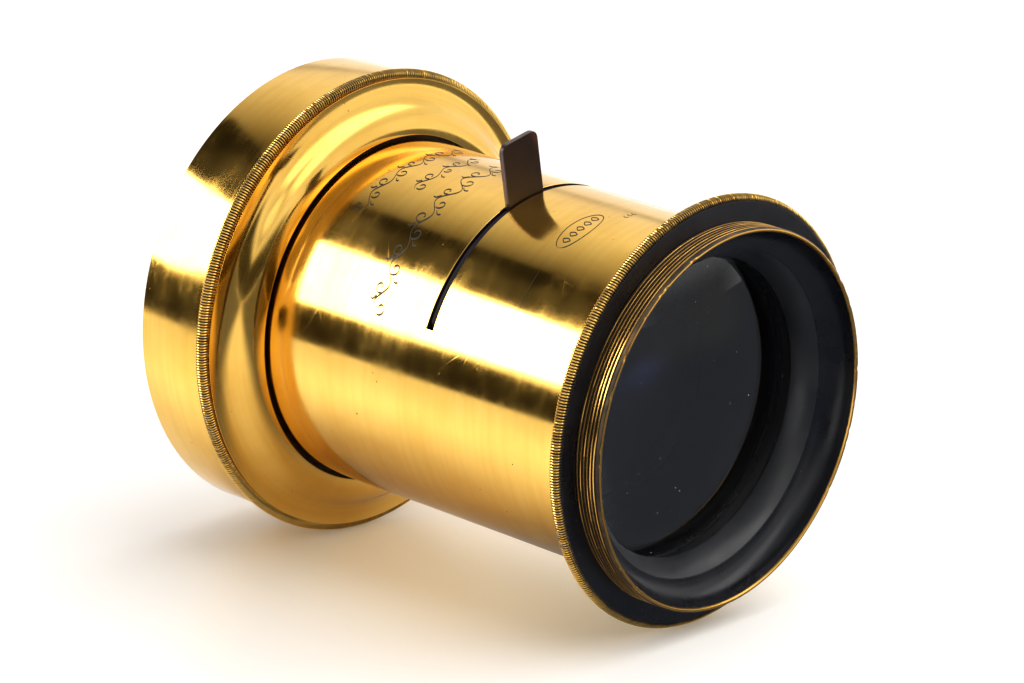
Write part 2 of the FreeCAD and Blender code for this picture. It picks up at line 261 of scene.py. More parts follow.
def brass(name, base, deep, gloss, streak, scratched=1.0, darkening=False):
    """Polished or worn brass with turning lines, scratches, spots and warm tarnish.

    base and deep are the clean and the tarnished colour, gloss the roughness of the clean metal,
    streak the depth of the turning lines in metres. The last argument turns on a darkening that
    each
    piece stores per point: painted shade in its grooves and thread roots, black paint on the
    bezel's front and a plain dark land on the hood nose."""
    nodes = new_nodes(name)
    turning = Turned(nodes)
    place = turning.place
    fine = turning.rings(2.2, 5200.0, 3.0, 0.6)
    broad = turning.rings(1.1, 420.0, 3.0, 0.55)
    brushed = turning.rings(3.0, 3600.0, 3.0, 0.6)
    worn = turning.rings(1.6, 55.0)
    clouds = nodes.noise(place, 34.0, 4.0, 0.6)
    patches = nodes.noise(place, 110.0, 3.0, 0.65)

    rare = nodes.between(nodes.noise(place, 75.0, 1.0), 0.54, 0.70)
    cross = turning.scratches(62.0, 120.0, 0.006, 0.10)
    slant = turning.scratches(-54.0, 90.0, 0.004, 0.12)
    lines = nodes.times(nodes.math("MAXIMUM", cross, slant), nodes.times(rare, scratched))
    spots = nodes.specks(place, 420.0, 0.05, 0.14, 150.0, 0.60, 0.70)

    tone = base
    for layer, low, high, share in ((clouds, 0.38, 0.72, 0.55), (broad, 0.35, 0.75, 0.30),
                                    (fine, 0.45, 0.8, 0.22)):
        tone = nodes.mix(nodes.between(layer, low, high, 0.0, share), tone, deep)
    tone = nodes.mix(nodes.times(spots, 0.85), tone, colour(0.16, 0.075, 0.02))
    turned = nodes.times(nodes.between(brushed, 0.34, 0.66, 0.88, 1.2),
                         nodes.between(worn, 0.3, 0.7, 0.82, 1.25))
    rough = nodes.times(turned, nodes.between(patches, 0.35, 0.75, gloss * 0.85, gloss * 1.3))
    rough = nodes.plus(rough, nodes.times(lines, 0.10))
    rough = nodes.plus(rough, nodes.times(spots, 0.35))
    metal = 1.0
    # Darkening stored per point on the piece: painted shade in grooves and thread roots, black
    # paint on the bezel's front, a plain dark land on the hood nose.
    if darkening:
        darkening_share = nodes.add("Attribute", output=2, attribute_name="darkening")
        dark_share = nodes.between(nodes.plus(darkening_share, nodes.times(patches, 0.35)), 0.45, 0.95)
        tone = nodes.mix(dark_share, tone, colour(0.022, 0.013, 0.007))
        rough = nodes.plus(rough, nodes.times(dark_share, 0.35))
        metal = nodes.math("SUBTRACT", 1.0, nodes.times(dark_share, 0.9))

    height = nodes.plus(nodes.times(fine, 0.35), broad)
    height = nodes.plus(height, nodes.times(brushed, 0.2))
    normal = nodes.bump(height, streak)
    normal = nodes.bump(turning.rings(0.9, 70.0, 1.0), streak * 6.0, normal)
    normal = nodes.bump(nodes.plus(lines, nodes.times(spots, 1.5)), -4.0e-6, normal)
    return nodes.surface(nodes.principled(Base_Color=tone, Metallic=metal, Roughness=rough,
                                          Normal=normal))


def lacquer(name, base, gloss, dusty, worn, shine=0.5):
    """Black lacquer over brass, a little blue, with fine turning lines, wear and dust."""
    nodes = new_nodes(name)
    turning = Turned(nodes)
    place = turning.place
    clouds = nodes.noise(place, 70.0, 4.0, 0.6)
    dust = nodes.specks(place, 520.0, 0.04, 0.10, 240.0, 0.56, 0.64)
    tone = nodes.mix(nodes.between(clouds, 0.35, 0.7), base,
                     colour(base[0] * 1.9, base[1] * 1.8, base[2] * 1.6))
    tone = nodes.mix(nodes.times(dust, dusty), tone, colour(0.33, 0.32, 0.30))
    rough = nodes.between(clouds, 0.3, 0.75, gloss * 0.8, gloss * 1.35)
    rough = nodes.plus(rough, nodes.times(dust, 0.4))
    metal = 0.0
    if worn:
        edge = nodes.add("Attribute", output=2, attribute_name="wear")
        chips = nodes.times(nodes.noise(place, 900.0, 3.0, 0.7), worn)
        metal = nodes.between(nodes.plus(edge, chips), 0.86, 1.0)
        tone = nodes.mix(metal, tone, colour(0.62, 0.36, 0.12))
    normal = nodes.bump(turning.rings(2.0, 4200.0), 1.6e-6)
    normal = nodes.bump(clouds, 7.0e-6, normal)
    return nodes.surface(nodes.principled(Base_Color=tone, Metallic=metal, Roughness=rough,
                                          Normal=normal, Specular_IOR_Level=shine))


def bronzed(name):
    """Brass browned almost to black, rubbed lighter on the edges of the tab, with a reddish painted
    highlight on one top corner.
    """
    nodes = new_nodes(name)
    place = nodes.place()
    x, _, z = nodes.parts(place)
    side = nodes.between(nodes.math("ABSOLUTE", x), (TAB_HALF - 0.55) * MM,
                         (TAB_HALF - 0.05) * MM)
    side = nodes.times(side, nodes.between(z, (BARREL + 0.2) * MM, (BARREL + 1.2) * MM))
    top = nodes.between(z, (TAB_TOP - 0.6) * MM, (TAB_TOP - 0.05) * MM)
    blot = nodes.noise(place, 420.0, 4.0, 0.65)
    grain = nodes.noise(nodes.stretched(place, 1.0, 1.0, 0.12), 3800.0, 3.0, 0.6)
    rubbed = nodes.plus(nodes.math("MAXIMUM", side, top), nodes.times(blot, 0.5))
    rubbed = nodes.between(rubbed, 0.75, 1.35)
    # A reddish patch on one top corner only: a painted highlight, laid over the wear of that
    # corner.
    corner = nodes.between(nodes.plus(nodes.times(x, 60.0), nodes.times(z, 22.0)), 1.5, 1.75)
    tone = nodes.mix(blot, colour(0.012, 0.006, 0.004), colour(0.034, 0.016, 0.009))
    tone = nodes.mix(nodes.times(corner, 0.6), tone, colour(0.16, 0.055, 0.022))
    tone = nodes.mix(nodes.times(rubbed, 0.7), tone, colour(0.22, 0.17, 0.17))
    return nodes.surface(nodes.principled(
        Base_Color=tone, Metallic=nodes.between(rubbed, 0.0, 1.0, 0.25, 0.9),
        Roughness=nodes.between(grain, 0.3, 0.7, 0.30, 0.46), Normal=nodes.bump(grain, 4.0e-6)))


def glass(name, tint, dusty):
    """Old uncoated glass with a few specks of dust, its ground edge painted black."""
    nodes = new_nodes(name)
    place = nodes.place()
    dust = nodes.specks(place, 300.0, 0.03, 0.065, 130.0, 0.47, 0.57)
    fine = nodes.specks(place, 760.0, 0.05, 0.10, 60.0, 0.56, 0.70, 0.30)
    dust = nodes.times(nodes.math("MAXIMUM", dust, fine), dusty)
    haze = nodes.noise(place, 55.0, 4.0, 0.6)
    seen = nodes.mix(nodes.between(haze, 0.35, 0.8), tint, colour(0.90, 0.90, 0.89))
    clear = nodes.principled(Base_Color=seen, Transmission_Weight=1.0, IOR=1.52, Roughness=0.0)
    mote = nodes.principled(Base_Color=colour(0.42, 0.42, 0.40), Roughness=0.8)
    paint = nodes.principled(Base_Color=colour(0.006, 0.006, 0.007), Roughness=0.7)
    painted = nodes.add("Attribute", output=2, attribute_name="painted")
    return nodes.surface(nodes.blend(nodes.between(painted, 0.9, 1.0),
                                     nodes.blend(dust, clear, mote), paint))


def velvet(name):
    """The black cloth that lines the sleeve."""
    nodes = new_nodes(name)
    pile = nodes.noise(nodes.place(), 2600.0, 3.0, 0.7)
    tone = nodes.mix(pile, colour(0.006, 0.005, 0.005), colour(0.03, 0.022, 0.02))
    return nodes.surface(nodes.principled(Base_Color=tone, Roughness=0.95, Sheen_Weight=0.6,
                                          Normal=nodes.bump(pile, 8.0e-5)))


def steel(name, base, gloss):
    """Spring or blued steel with drawn lines."""
    nodes = new_nodes(name)
    drawn = nodes.noise(nodes.stretched(nodes.place(), 1.0, 1.0, 14.0), 900.0, 3.0, 0.6)
    tone = nodes.mix(drawn, base, colour(base[0] * 0.5, base[1] * 0.5, base[2] * 0.6))
    return nodes.surface(nodes.principled(
        Base_Color=tone, Metallic=1.0,
        Roughness=nodes.between(drawn, 0.3, 0.7, gloss, gloss * 1.6),
        Normal=nodes.bump(drawn, 2.0e-6)))


def wax(name):
    """The black wax that fills the engraving."""
    nodes = new_nodes(name)
    crumb = nodes.noise(nodes.place(), 5200.0, 3.0, 0.6)
    tone = nodes.mix(nodes.between(crumb, 0.5, 0.75), colour(0.012, 0.008, 0.005),
                     colour(0.11, 0.06, 0.02))
    return nodes.surface(nodes.principled(Base_Color=tone, Roughness=0.55,
                                          Normal=nodes.bump(crumb, 1.0e-5)))


CLEAN = colour(0.89, 0.573, 0.152)
TARNISH = colour(0.73, 0.405, 0.070)
BRASS = brass("polished_brass", CLEAN, TARNISH, 0.125, 1.5e-6)
BRASS_WORN_SHADED = brass("worn_brass_shaded", CLEAN, TARNISH, 0.14, 1.5e-6, 0.4, True)
BRASS_THREAD = brass("thread_brass", colour(0.84, 0.50, 0.13), colour(0.48, 0.24, 0.06), 0.20,
                     1.0e-6, 0.2, True)
BLACK = lacquer("black_lacquer", colour(0.0055, 0.0062, 0.0095), 0.29, 0.30, 0.45)
BLACK_SATIN = lacquer("satin_black", colour(0.010, 0.011, 0.015), 0.40, 0.30, 0.0, 0.75)
BLACK_INSIDE = lacquer("black_inside", colour(0.006, 0.006, 0.007), 0.55, 0.0, 0.0, 0.25)
PLATE_INSIDE = lacquer("blackened_plate", colour(0.020, 0.016, 0.022), 0.6, 0.0, 0.0, 0.1)
BRONZED = bronzed("bronzed_plate")
LENS_GLASS = glass("lens_glass", colour(0.96, 0.975, 0.965), 0.8)
INNER_GLASS = glass("inner_glass", colour(0.96, 0.975, 0.965), 0.0)
VELVET = velvet("velvet_lining")
SPRING_STEEL = steel("spring_steel", colour(0.42, 0.42, 0.44), 0.25)
BLUED_STEEL = steel("blued_steel", colour(0.10, 0.12, 0.22), 0.28)
WAX = wax("engraving_wax")


# Turned geometry


def circle(radius, angles, x=0.0, y=0.0):
    """Points at a radius round a centre, at angles in radians from the x direction."""
    return [(x + radius * math.cos(t), y + radius * math.sin(t)) for t in angles]


def arc(start, end, radius, turn, steps):
    """Points of an arc from start up to, not with, end. turn is 1 where it runs anticlockwise."""
    first, last = Vector(start), Vector(end)
    chord = last - first
    rise = math.sqrt(max(radius ** 2 - (chord.length / 2) ** 2, 0.0))
    side = Vector((-chord.y, chord.x)).normalized()
    middle = (first + last) / 2 + side * rise * turn
    opening = math.atan2(first.y - middle.y, first.x - middle.x)
    closing = math.atan2(last.y - middle.y, last.x - middle.x)
    if turn > 0 and closing < opening:
        closing += 2 * math.pi
    if turn < 0 and closing > opening:
        closing -= 2 * math.pi
    return circle(radius, np.linspace(opening, closing, steps + 1)[:-1], *middle)


def line(start, end, steps):
    """Evenly spaced points from start up to, not with, end."""
    return [(start[0] + (end[0] - start[0]) * t, start[1] + (end[1] - start[1]) * t)
            for t in np.linspace(0, 1, steps + 1)[:-1]]


def eased(section, ease, closed):
    """The section with each real corner rounded off by ease."""
    softened = []
    count = len(section)
    for index, point in enumerate(section):
        if not closed and index in (0, count - 1):
            softened.append(point)
            continue
        here = Vector(point)
        back = Vector(section[index - 1]) - here
        ahead = Vector(section[(index + 1) % count]) - here
        if min(back.length, ahead.length) < 1e-6 or back.angle(ahead) > math.radians(150):
            softened.append(point)
            continue
        cut = min(ease, back.length * 0.4, ahead.length * 0.4)
        first = here + back.normalized() * cut
        last = here + ahead.normalized() * cut
        for t in (0.0, 0.33, 0.67, 1.0):
            softened.append(tuple(first * (1 - t) ** 2 + here * 2 * t * (1 - t) + last * t ** 2))
    return softened


def on_lens(radius, station, angle):
    """The place in the frame, in metres, at a radius, a station and an angle in radians."""
    radius, station, angle = np.broadcast_arrays(radius, station, angle)
    return np.stack([-radius * np.sin(angle) * MM, station * MM + FRONT,
                     radius * np.cos(angle) * MM], axis=-1)


def placed(name, data):
    """A new object in the scene with a mesh, a curve, a light or a camera as its data."""
    thing = bpy.data.objects.new(name, data)
    bpy.context.scene.collection.objects.link(thing)
    return thing


def joined(parts):
    """The points and the faces of several parts, as one list of each."""
    points, faces = [], []
    for new_points, new_faces in parts:
        faces += [tuple(v + len(points) for v in face) for face in new_faces]
        points += new_points
    return points, faces


def mesh_object(name, points, faces, material, body, slot, stands_for=(), merge=False):
    """A smooth-shaded mesh with real edges kept sharp, riding on a body."""
    mesh = bpy.data.meshes.new(name)
    mesh.from_pydata([tuple(p) for p in points], [], [tuple(f) for f in faces])
    shape = bmesh.new()
    shape.from_mesh(mesh)
    if merge:
        bmesh.ops.remove_doubles(shape, verts=shape.verts, dist=1e-8)
    bmesh.ops.recalc_face_normals(shape, faces=shape.faces)
    shape.to_mesh(mesh)
    shape.free()
    mesh.shade_smooth()
    mesh.set_sharp_from_angle(angle=math.radians(38))
    mesh.materials.append(material)
    piece = placed(name, mesh)
    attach(piece, body)
    if stands_for:
        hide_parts(*stands_for)
    return piece


def grid_faces(rows, columns, closed):
    """Quads of a grid that wraps round its columns, and round its rows where it is closed."""
    last = rows if closed else rows - 1
    i, j = np.meshgrid(np.arange(last), np.arange(columns), indexing="ij")
    below, beside = (i + 1) % rows, (j + 1) % columns
    return np.stack([i * columns + j, i * columns + beside, below * columns + beside,
                     below * columns + j], axis=-1).reshape(-1, 4)


def lathe(name, section, material, body, slot, stands_for, turns=360, shape=None,
          ease=0.12, closed=True):
    """A piece turned from a section. shape may move the points: it takes and gives arrays of
    radius and station, and gets the angle in radians."""
    profile = np.array(eased(section, ease, closed), float)
    angle = np.arange(turns) * 2 * math.pi / turns
    radius = np.repeat(profile[:, :1], turns, axis=1)
    station = np.repeat(profile[:, 1:], turns, axis=1)
    around = np.repeat(angle[None, :], len(profile), axis=0)
    if shape:
        radius, station = shape(radius, station, around)
    points = on_lens(radius, station, around).reshape(-1, 3)
    faces = grid_faces(len(profile), turns, closed)
    return mesh_object(name, points.tolist(), faces.tolist(), material, body, slot, stands_for,
                       merge=not closed)


def store_shade(piece, name, values):
    """Keeps one number per point, which a material reads."""
    attribute = piece.data.attributes.new(name, "FLOAT", "POINT")
    attribute.data.foreach_set("value", np.asarray(values, np.float32))


def places(piece):
    """The radius and the station of each point of a piece."""
    co = np.empty(len(piece.data.vertices) * 3, np.float32)
    piece.data.vertices.foreach_get("co", co)
    co = co.reshape(-1, 3) / MM
    return np.hypot(co[:, 0], co[:, 2]), co[:, 1] - FRONT / MM


def line_inside(mesh, material, limit):
    """Gives a second material to the faces nearer the axis than a limit."""
    mesh.materials.append(material)
    for face in mesh.polygons:
        face.material_index = int(math.hypot(face.center.x, face.center.z) < limit * MM)


def milled(centre_radius, centre_station, count, depth, seed):
    """A shape that cuts fine ridges across a bead, each a little different from the next."""
    uneven = np.random.default_rng(seed).uniform(0.75, 1.2, count)

    def shape(radius, station, angle):
        turn = angle * count / (2 * math.pi)
        crest = np.abs(np.sin(math.pi * turn)) ** 0.8
        cut = depth * (1 - crest) * uneven[np.floor(turn + 1e-6).astype(int) % count]
        across, down = radius - centre_radius, station - centre_station
        reach = np.hypot(across, down)
        keep = np.where(reach > BEAD_ROUND * 0.98, 1 - cut / np.maximum(reach, 0.1), 1.0)
        return centre_radius + across * keep, centre_station + down * keep
    return shape


def milled_bead(name, centre_radius, centre_station, count, body, stands_for, seed, painted=-9.0):
    """A brass bead with fine ridges all round, with painted shade in its grooves, and black paint
    in front of the station called painted, which counts from its centre."""
    top = (centre_radius + BEAD_ROUND, centre_station)
    start = (centre_radius, centre_station - BEAD_ROUND)
    end = (centre_radius, centre_station + BEAD_ROUND)
    section = (arc(start, top, BEAD_ROUND, 1, 7) + arc(top, end, BEAD_ROUND, 1, 7)
               + [end, (centre_radius - 0.9, end[1]), (centre_radius - 0.9, start[1])])
    depth = 0.42
    piece = lathe(name, section, BRASS_WORN_SHADED, body, "polished_brass", stands_for, count * 4,
                  milled(centre_radius, centre_station, count, depth, seed), ease=0.0)
    radius, station = places(piece)
    down = station - centre_station
    # Painted shade: the grooves between the ridges are darkened by their depth.
    groove_shade = np.clip((BEAD_ROUND - np.hypot(radius - centre_radius, down)) / (depth * 0.42), 0, 1)
    paint = np.clip((painted - down) / 0.35, 0, 1)
    store_shade(piece, "darkening", np.maximum(groove_shade, paint))


def screwed(crest, depth, first, last):
    """A shape that cuts a right-hand thread between two stations of a cylinder."""
    def shape(radius, station, angle):
        phase = ((station - first) / THREAD_PITCH - angle / (2 * math.pi)) % 1.0
        tooth = np.clip((np.abs(2 * phase - 1) - 0.32) * 1.9, 0, 1)
        fade = np.clip((station - first) / 0.5, 0, 1) * np.clip((last - station) / 0.35, 0, 1)
        outside = radius > crest - 0.05
        return np.where(outside, radius - depth * tooth * fade, radius), station
    return shape


# Front of the lens


def dented(shape, seed):
    """A shape with small nicks added to the front edge of the rim."""
    rng = np.random.default_rng(seed)
    nicks = [(rng.uniform(0, 2 * math.pi), rng.uniform(0.006, 0.02), rng.uniform(0.05, 0.22))
             for _ in range(26)]

    def nicked(radius, station, angle):
        radius, station = shape(radius, station, angle)
        edge = (station < 0.6) & (radius > NOSE_BORE - 0.2)
        for place, width, depth in nicks:
            apart = np.angle(np.exp(1j * (angle - place)))
            hit = np.exp(-(apart / width) ** 2) * edge
            station = station + depth * hit * 0.7
            radius = radius - depth * hit * (radius > NOSE - 0.4)
        return radius, station
    return nicked


def hood_nose():
    """The brass nose that a hood screws on: a thin bright lip, a plain land and a thread."""
    thread_start, thread_end, depth = 1.15, FACE_STATION, 0.55
    wall = NOSE_BORE - 0.12
    section = ([(NOSE_BORE, 0.3), (NOSE_BORE + 0.12, 0.07), (NOSE_BORE + 0.32, 0.0),
                (NOSE_BORE + 0.55, 0.05), (NOSE - 0.25, 0.14), (NOSE, 0.4), (NOSE, thread_start)]
               + line((NOSE, thread_start), (NOSE, thread_end), 72)[1:]
               + [(NOSE - depth, thread_end), (wall, thread_end), (wall, 0.5)])
    piece = lathe("hood_thread_nose", section, BRASS_THREAD, "barrel", "polished_brass",
                  ["front_cell"], 720,
                  dented(screwed(NOSE, depth, thread_start, thread_end), 11), ease=0.1)
    radius, station = places(piece)
    # Painted shade: the thread roots are darkened by their depth. The plain land and the front face
    # behind the thin lip are darkened as well.
    deep = np.clip((NOSE - radius) / (depth * 0.22), 0, 1) * (station > thread_start * 0.9)
    land = np.clip(np.maximum((station - 0.3) / 0.3, (radius - NOSE_BORE - 0.55) / 0.2), 0, 1)
    land = land * (station < thread_start + 0.05)
    store_shade(piece, "darkening", np.maximum(deep, 0.70 * land * (radius > NOSE_BORE + 0.2)))


def front_bell():
    """The black mouth and face of the front cell."""
    wall = NOSE_BORE - 0.14
    seat = FLINT_REAR + 0.1
    neck = BARREL - TUBE_WALL - 0.1
    section = ([(wall, 0.45)]
               + arc((wall - 0.1, 0.9), (COVE_FOOT, COVE_STATION), COVE_ROUND, 1, 20)
               + [(COVE_FOOT, COVE_STATION), (COVE_FOOT, KEEPER_REAR + 0.06),
                  (CROWN + 0.05, KEEPER_REAR + 0.06), (CROWN + 0.05, seat), (GLASS_CLEAR, seat),
                  (GLASS_CLEAR, CELL_END), (neck, CELL_END), (neck, BEZEL_REAR - 0.05),
                  (BEZEL_CENTRE - 0.1, BEZEL_REAR - 0.05), (BEZEL_CENTRE - 0.1, FACE_STATION),
                  (wall, FACE_STATION)])
    piece = lathe("front_cell_bell", section, BLACK, "barrel", "black_lacquer", ["front_cell"])
    radius, station = places(piece)
    mouth_edge = np.exp(-((station - 0.5) / 0.35) ** 2) * (radius < NOSE_BORE)
    face_edge = np.exp(-((radius - BEZEL_CENTRE) / 0.22) ** 2) * (station < FACE_STATION + 0.3)
    store_shade(piece, "wear", np.maximum(mouth_edge * 0.75, face_edge * 0.5))


def front_keeper():
    """The black ring that holds the front glasses: a conical face and a tapered bore."""
    section = [(KEEPER, KEEPER_FRONT), (KEEPER_EDGE, KEEPER_EDGE_STATION),
               (GLASS_CLEAR, KEEPER_REAR - 0.45), (GLASS_CLEAR + 0.3, KEEPER_REAR - 0.02),
               (KEEPER, KEEPER_REAR - 0.02)]
    lathe("front_keeper", section, BLACK_SATIN, "barrel", "black_lacquer", ["front_retaining_ring"],
          ease=0.06)


def cap(curve, vertex, turn, edge):
    """Points of a lens surface from the axis out to its edge. turn 1 falls back to the rear."""
    return [(r, vertex + turn * (curve - math.sqrt(curve ** 2 - r ** 2)))
            for r in np.linspace(0.0, edge, 26)]


def lens(name, front, back, edge, material, stands_for):
    """A glass from the curve, the vertex and the turn of each of its two faces."""
    return lathe(name, cap(*front, edge) + cap(*back, edge)[::-1], material, "barrel",
                 "lens_glass", stands_for, 256, ease=0.15, closed=False)


def front_glass():
    """The cemented front pair, which looks like one thick glass."""
    piece = lens("front_glass_pair", (CROWN_CURVE, CROWN_VERTEX, 1),
                 (PAIR_BACK_CURVE, PAIR_BACK, 1), CROWN - 0.02, LENS_GLASS,
                 ["front_crown_glass", "front_flint_glass"])
    radius, _ = places(piece)
    store_shade(piece, "painted", radius > CROWN - 0.2)


# Barrel and stop


def barrel():
    """The plain sliding tube with its slot, brass outside and black inside."""
    near, far = SLOT_STATION - SLOT_WIDTH / 2, SLOT_STATION + SLOT_WIDTH / 2
    stations = [BEZEL_REAR, BEZEL_REAR + 0.1, 36.0, near - 0.6, near - 0.1, near, far, far + 0.1,
                far + 0.6, 90.0, 116.0, BARREL_END - 0.15, BARREL_END]
    ends, cut_row = (0, len(stations) - 1), stations.index(near)
    slot_ease, end_ease = 0.09, 0.1
    turns = 720
    slot_columns = int(SLOT_HALF_SWEEP * turns / 360)
    angle = np.arange(turns) * 2 * math.pi / turns
    offset = (np.arange(turns) + turns // 2) % turns - turns // 2
    in_slot = np.abs(offset) < slot_columns
    points = np.zeros((2, len(stations), turns, 3))
    for row, station in enumerate(stations):
        ease = slot_ease * in_slot if station in (near, far) else end_ease * (row in ends)
        points[0, row] = on_lens(BARREL - ease, station, angle)
        points[1, row] = on_lens(BARREL - TUBE_WALL, station, angle)
    number = np.arange(points[..., 0].size).reshape(points.shape[:3])
    faces = []

    def quad(*corners):
        faces.append([int(number[corner]) for corner in corners])

    def rim(row, j, k):
        quad((0, row, j), (0, row, k), (1, row, k), (1, row, j))

    for row in range(ends[1]):
        for j in range(turns):
            k = (j + 1) % turns
            if row == cut_row and abs(offset[j] + 0.5) < slot_columns:
                rim(row, j, k)
                rim(row + 1, j, k)
                continue
            for layer in (0, 1):
                quad((layer, row, j), (layer, row, k), (layer, row + 1, k), (layer, row + 1, j))
    for j in (slot_columns, turns - slot_columns):
        quad((0, cut_row, j), (0, cut_row + 1, j), (1, cut_row + 1, j), (1, cut_row, j))
    for row in ends:
        for j in range(turns):
            rim(row, j, (j + 1) % turns)
    piece = mesh_object("barrel", points.reshape(-1, 3).tolist(), faces, BRASS, "barrel",
                        "polished_brass", ["barrel_tube"])
    line_inside(piece.data, BLACK_INSIDE, BARREL - 0.5)


def aperture_plate():
    """The Waterhouse stop: a round-footed plate with a round hole and a tall tab."""
    ease = 0.14
    rim = BARREL - 0.5
    foot, shoulder, root = (math.degrees(math.acos(share)) for share in (
        PLATE_HALF / PLATE_FOOT, PLATE_HALF / rim, TAB_HALF / rim))

    def sweep(first, last, count):
        return np.radians(np.linspace(first, last, count))

    corner, corner_height = TAB_HALF - TAB_ROUND, TAB_TOP - TAB_ROUND
    outline = (circle(PLATE_FOOT, sweep(-180 + foot, -foot, 60))
               + circle(rim, sweep(shoulder, root, 24))
               + circle(TAB_ROUND, sweep(0, 90, 10), corner, corner_height)
               + circle(TAB_ROUND, sweep(90, 180, 10), -corner, corner_height)
               + circle(rim, sweep(180 - root, 180 - shoulder, 24)))
    hole = circle(APERTURE, sweep(0, 357, 120))
    curve = bpy.data.curves.new("plate_outline", "CURVE")
    curve.dimensions = "2D"
    curve.fill_mode = "BOTH"
    curve.extrude = ((PLATE_REAR_FACE - PLATE_FRONT_FACE) / 2 - ease) * MM
    curve.bevel_depth = ease * MM
    curve.bevel_resolution = 2
    curve.offset = -ease * MM
    for ring in (outline, hole):
        spline = curve.splines.new("POLY")
        spline.points.add(len(ring) - 1)
        for point, (x, z) in zip(spline.points, ring):
            point.co = (x * MM, z * MM, 0.0, 1.0)
        spline.use_cyclic_u = True
    holder = placed("plate_outline", curve)
    bpy.context.view_layer.update()
    mesh = bpy.data.meshes.new_from_object(holder)
    bpy.data.objects.remove(holder)
    stand = Matrix.Rotation(math.radians(90), 4, "X")
    mesh.transform(Matrix.Translation((0, SLOT_STATION * MM + FRONT, 0)) @ stand)
    mesh.materials.clear()
    mesh.materials.append(BRONZED)
    line_inside(mesh, PLATE_INSIDE, BARREL)
    mesh.shade_smooth()
    mesh.set_sharp_from_angle(angle=math.radians(32))
    plate = placed("aperture_plate", mesh)
    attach(plate, "stop")
    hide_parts("waterhouse_stop")


# Engraving


def smooth_path(points, steps=10):
    """A smooth curve through given (angle, station) points."""
    padded = [points[0], *points, points[-1]]
    path = []
    for a, b, c, d in zip(padded, padded[1:], padded[2:], padded[3:]):
        a, b, c, d = (np.array(p, float) for p in (a, b, c, d))
        for t in np.linspace(0, 1, steps, endpoint=False):
            path.append(0.5 * (2 * b + (c - a) * t + (2 * a - 5 * b + 4 * c - d) * t ** 2
                               + (3 * b - a - 3 * c + d) * t ** 3))
    path.append(np.array(points[-1], float))
    return path


def cut_line(path, wide, thin):
    """Points and faces of a filled engraved line along a path of (angle, station) points. It is
    wide where it runs at the slope and thin across it, as a graver cuts."""
    rise, depth, slope = 0.012, 0.06, math.radians(60)
    flat = np.array([(p[0] * PER_DEGREE, p[1]) for p in path])
    step = np.gradient(flat, axis=0)
    heading = step / np.maximum(np.linalg.norm(step, axis=1)[:, None], 1e-9)
    along = np.array((math.cos(slope), math.sin(slope)))
    press = np.abs(heading @ along) ** 2
    share = np.linspace(0, 1, len(flat))
    ends = np.clip(np.minimum(share, 1 - share) * 14, 0.25, 1)
    half = (thin + (wide - thin) * press) * ends / 2
    side = np.stack([-heading[:, 1], heading[:, 0]], axis=1)
    left, right = flat + side * half[:, None], flat - side * half[:, None]
    corners = ((left, BARREL + rise), (right, BARREL + rise), (right, BARREL - depth),
               (left, BARREL - depth))
    points = np.stack([on_lens(radius, edge[:, 1], np.radians(edge[:, 0] / PER_DEGREE))
                       for edge, radius in corners], axis=1).reshape(-1, 3)
    faces = [(4 * i + k, 4 * i + (k + 1) % 4, 4 * i + 4 + (k + 1) % 4, 4 * i + 4 + k)
             for i in range(len(flat) - 1) for k in range(4)]
    last = 4 * (len(flat) - 1)
    faces += [(0, 1, 2, 3), (last, last + 3, last + 2, last + 1)]
    return points.tolist(), faces


def engraving(name, lines, wide=0.66, thin=0.22):
    """One piece of filled engraving made of several lines."""
    mesh_object(name, *joined(cut_line(path, wide, thin) for path in lines), WAX, "barrel",
                "polished_brass")


def vine(start, end, waves, swing, seed):
    """Lines of a vine scroll between two (angle, station) points: a wavy stem, curls, leaves."""
    rng = random.Random(seed)
    first, last = np.array(start, float), np.array(end, float)
    scale = np.array((PER_DEGREE, 1))
    run = (last - first) * scale
    reach = np.linalg.norm(run)
    ahead = run / reach
    across = np.array((-ahead[1], ahead[0]))

    def place(along, off):
        return first + (ahead * along * reach + across * off) / scale

    stem = [place(t, swing * math.sin(2 * math.pi * waves * t) * (0.8 + 0.3 * math.sin(7 * t)))
            for t in np.linspace(0, 1, int(waves * 10) + 1)]
    lines = [smooth_path(stem, 4)]
    for wave in range(int(2 * waves)):
        t = (wave + 0.5) / (2 * waves)
        side = 1 if wave % 2 == 0 else -1
        root = place(t - 0.18 / waves, swing * side * 0.75)
        size = swing * rng.uniform(1.5, 2.1)
        centre = place(t + 0.02, -side * swing * 0.55)
        curl = []
        for turn in np.linspace(0, 1, 9):
            spin = math.radians(-40 + 330 * turn) * -side
            radius = size * (1 - 0.72 * turn) * 0.5
            curl.append(centre + (ahead * math.cos(spin) * radius
                                  + across * math.sin(spin) * radius) / scale)
        lines.append(smooth_path(curl, 4))
        lean = across * side * swing * rng.uniform(0.9, 1.3)
        tip = root + (ahead * swing * 0.5 + lean) / scale
        middle = (root + tip) / 2 + ahead * swing * 0.35 / scale
        lines.append(smooth_path([root, middle, tip], 6))
    return lines


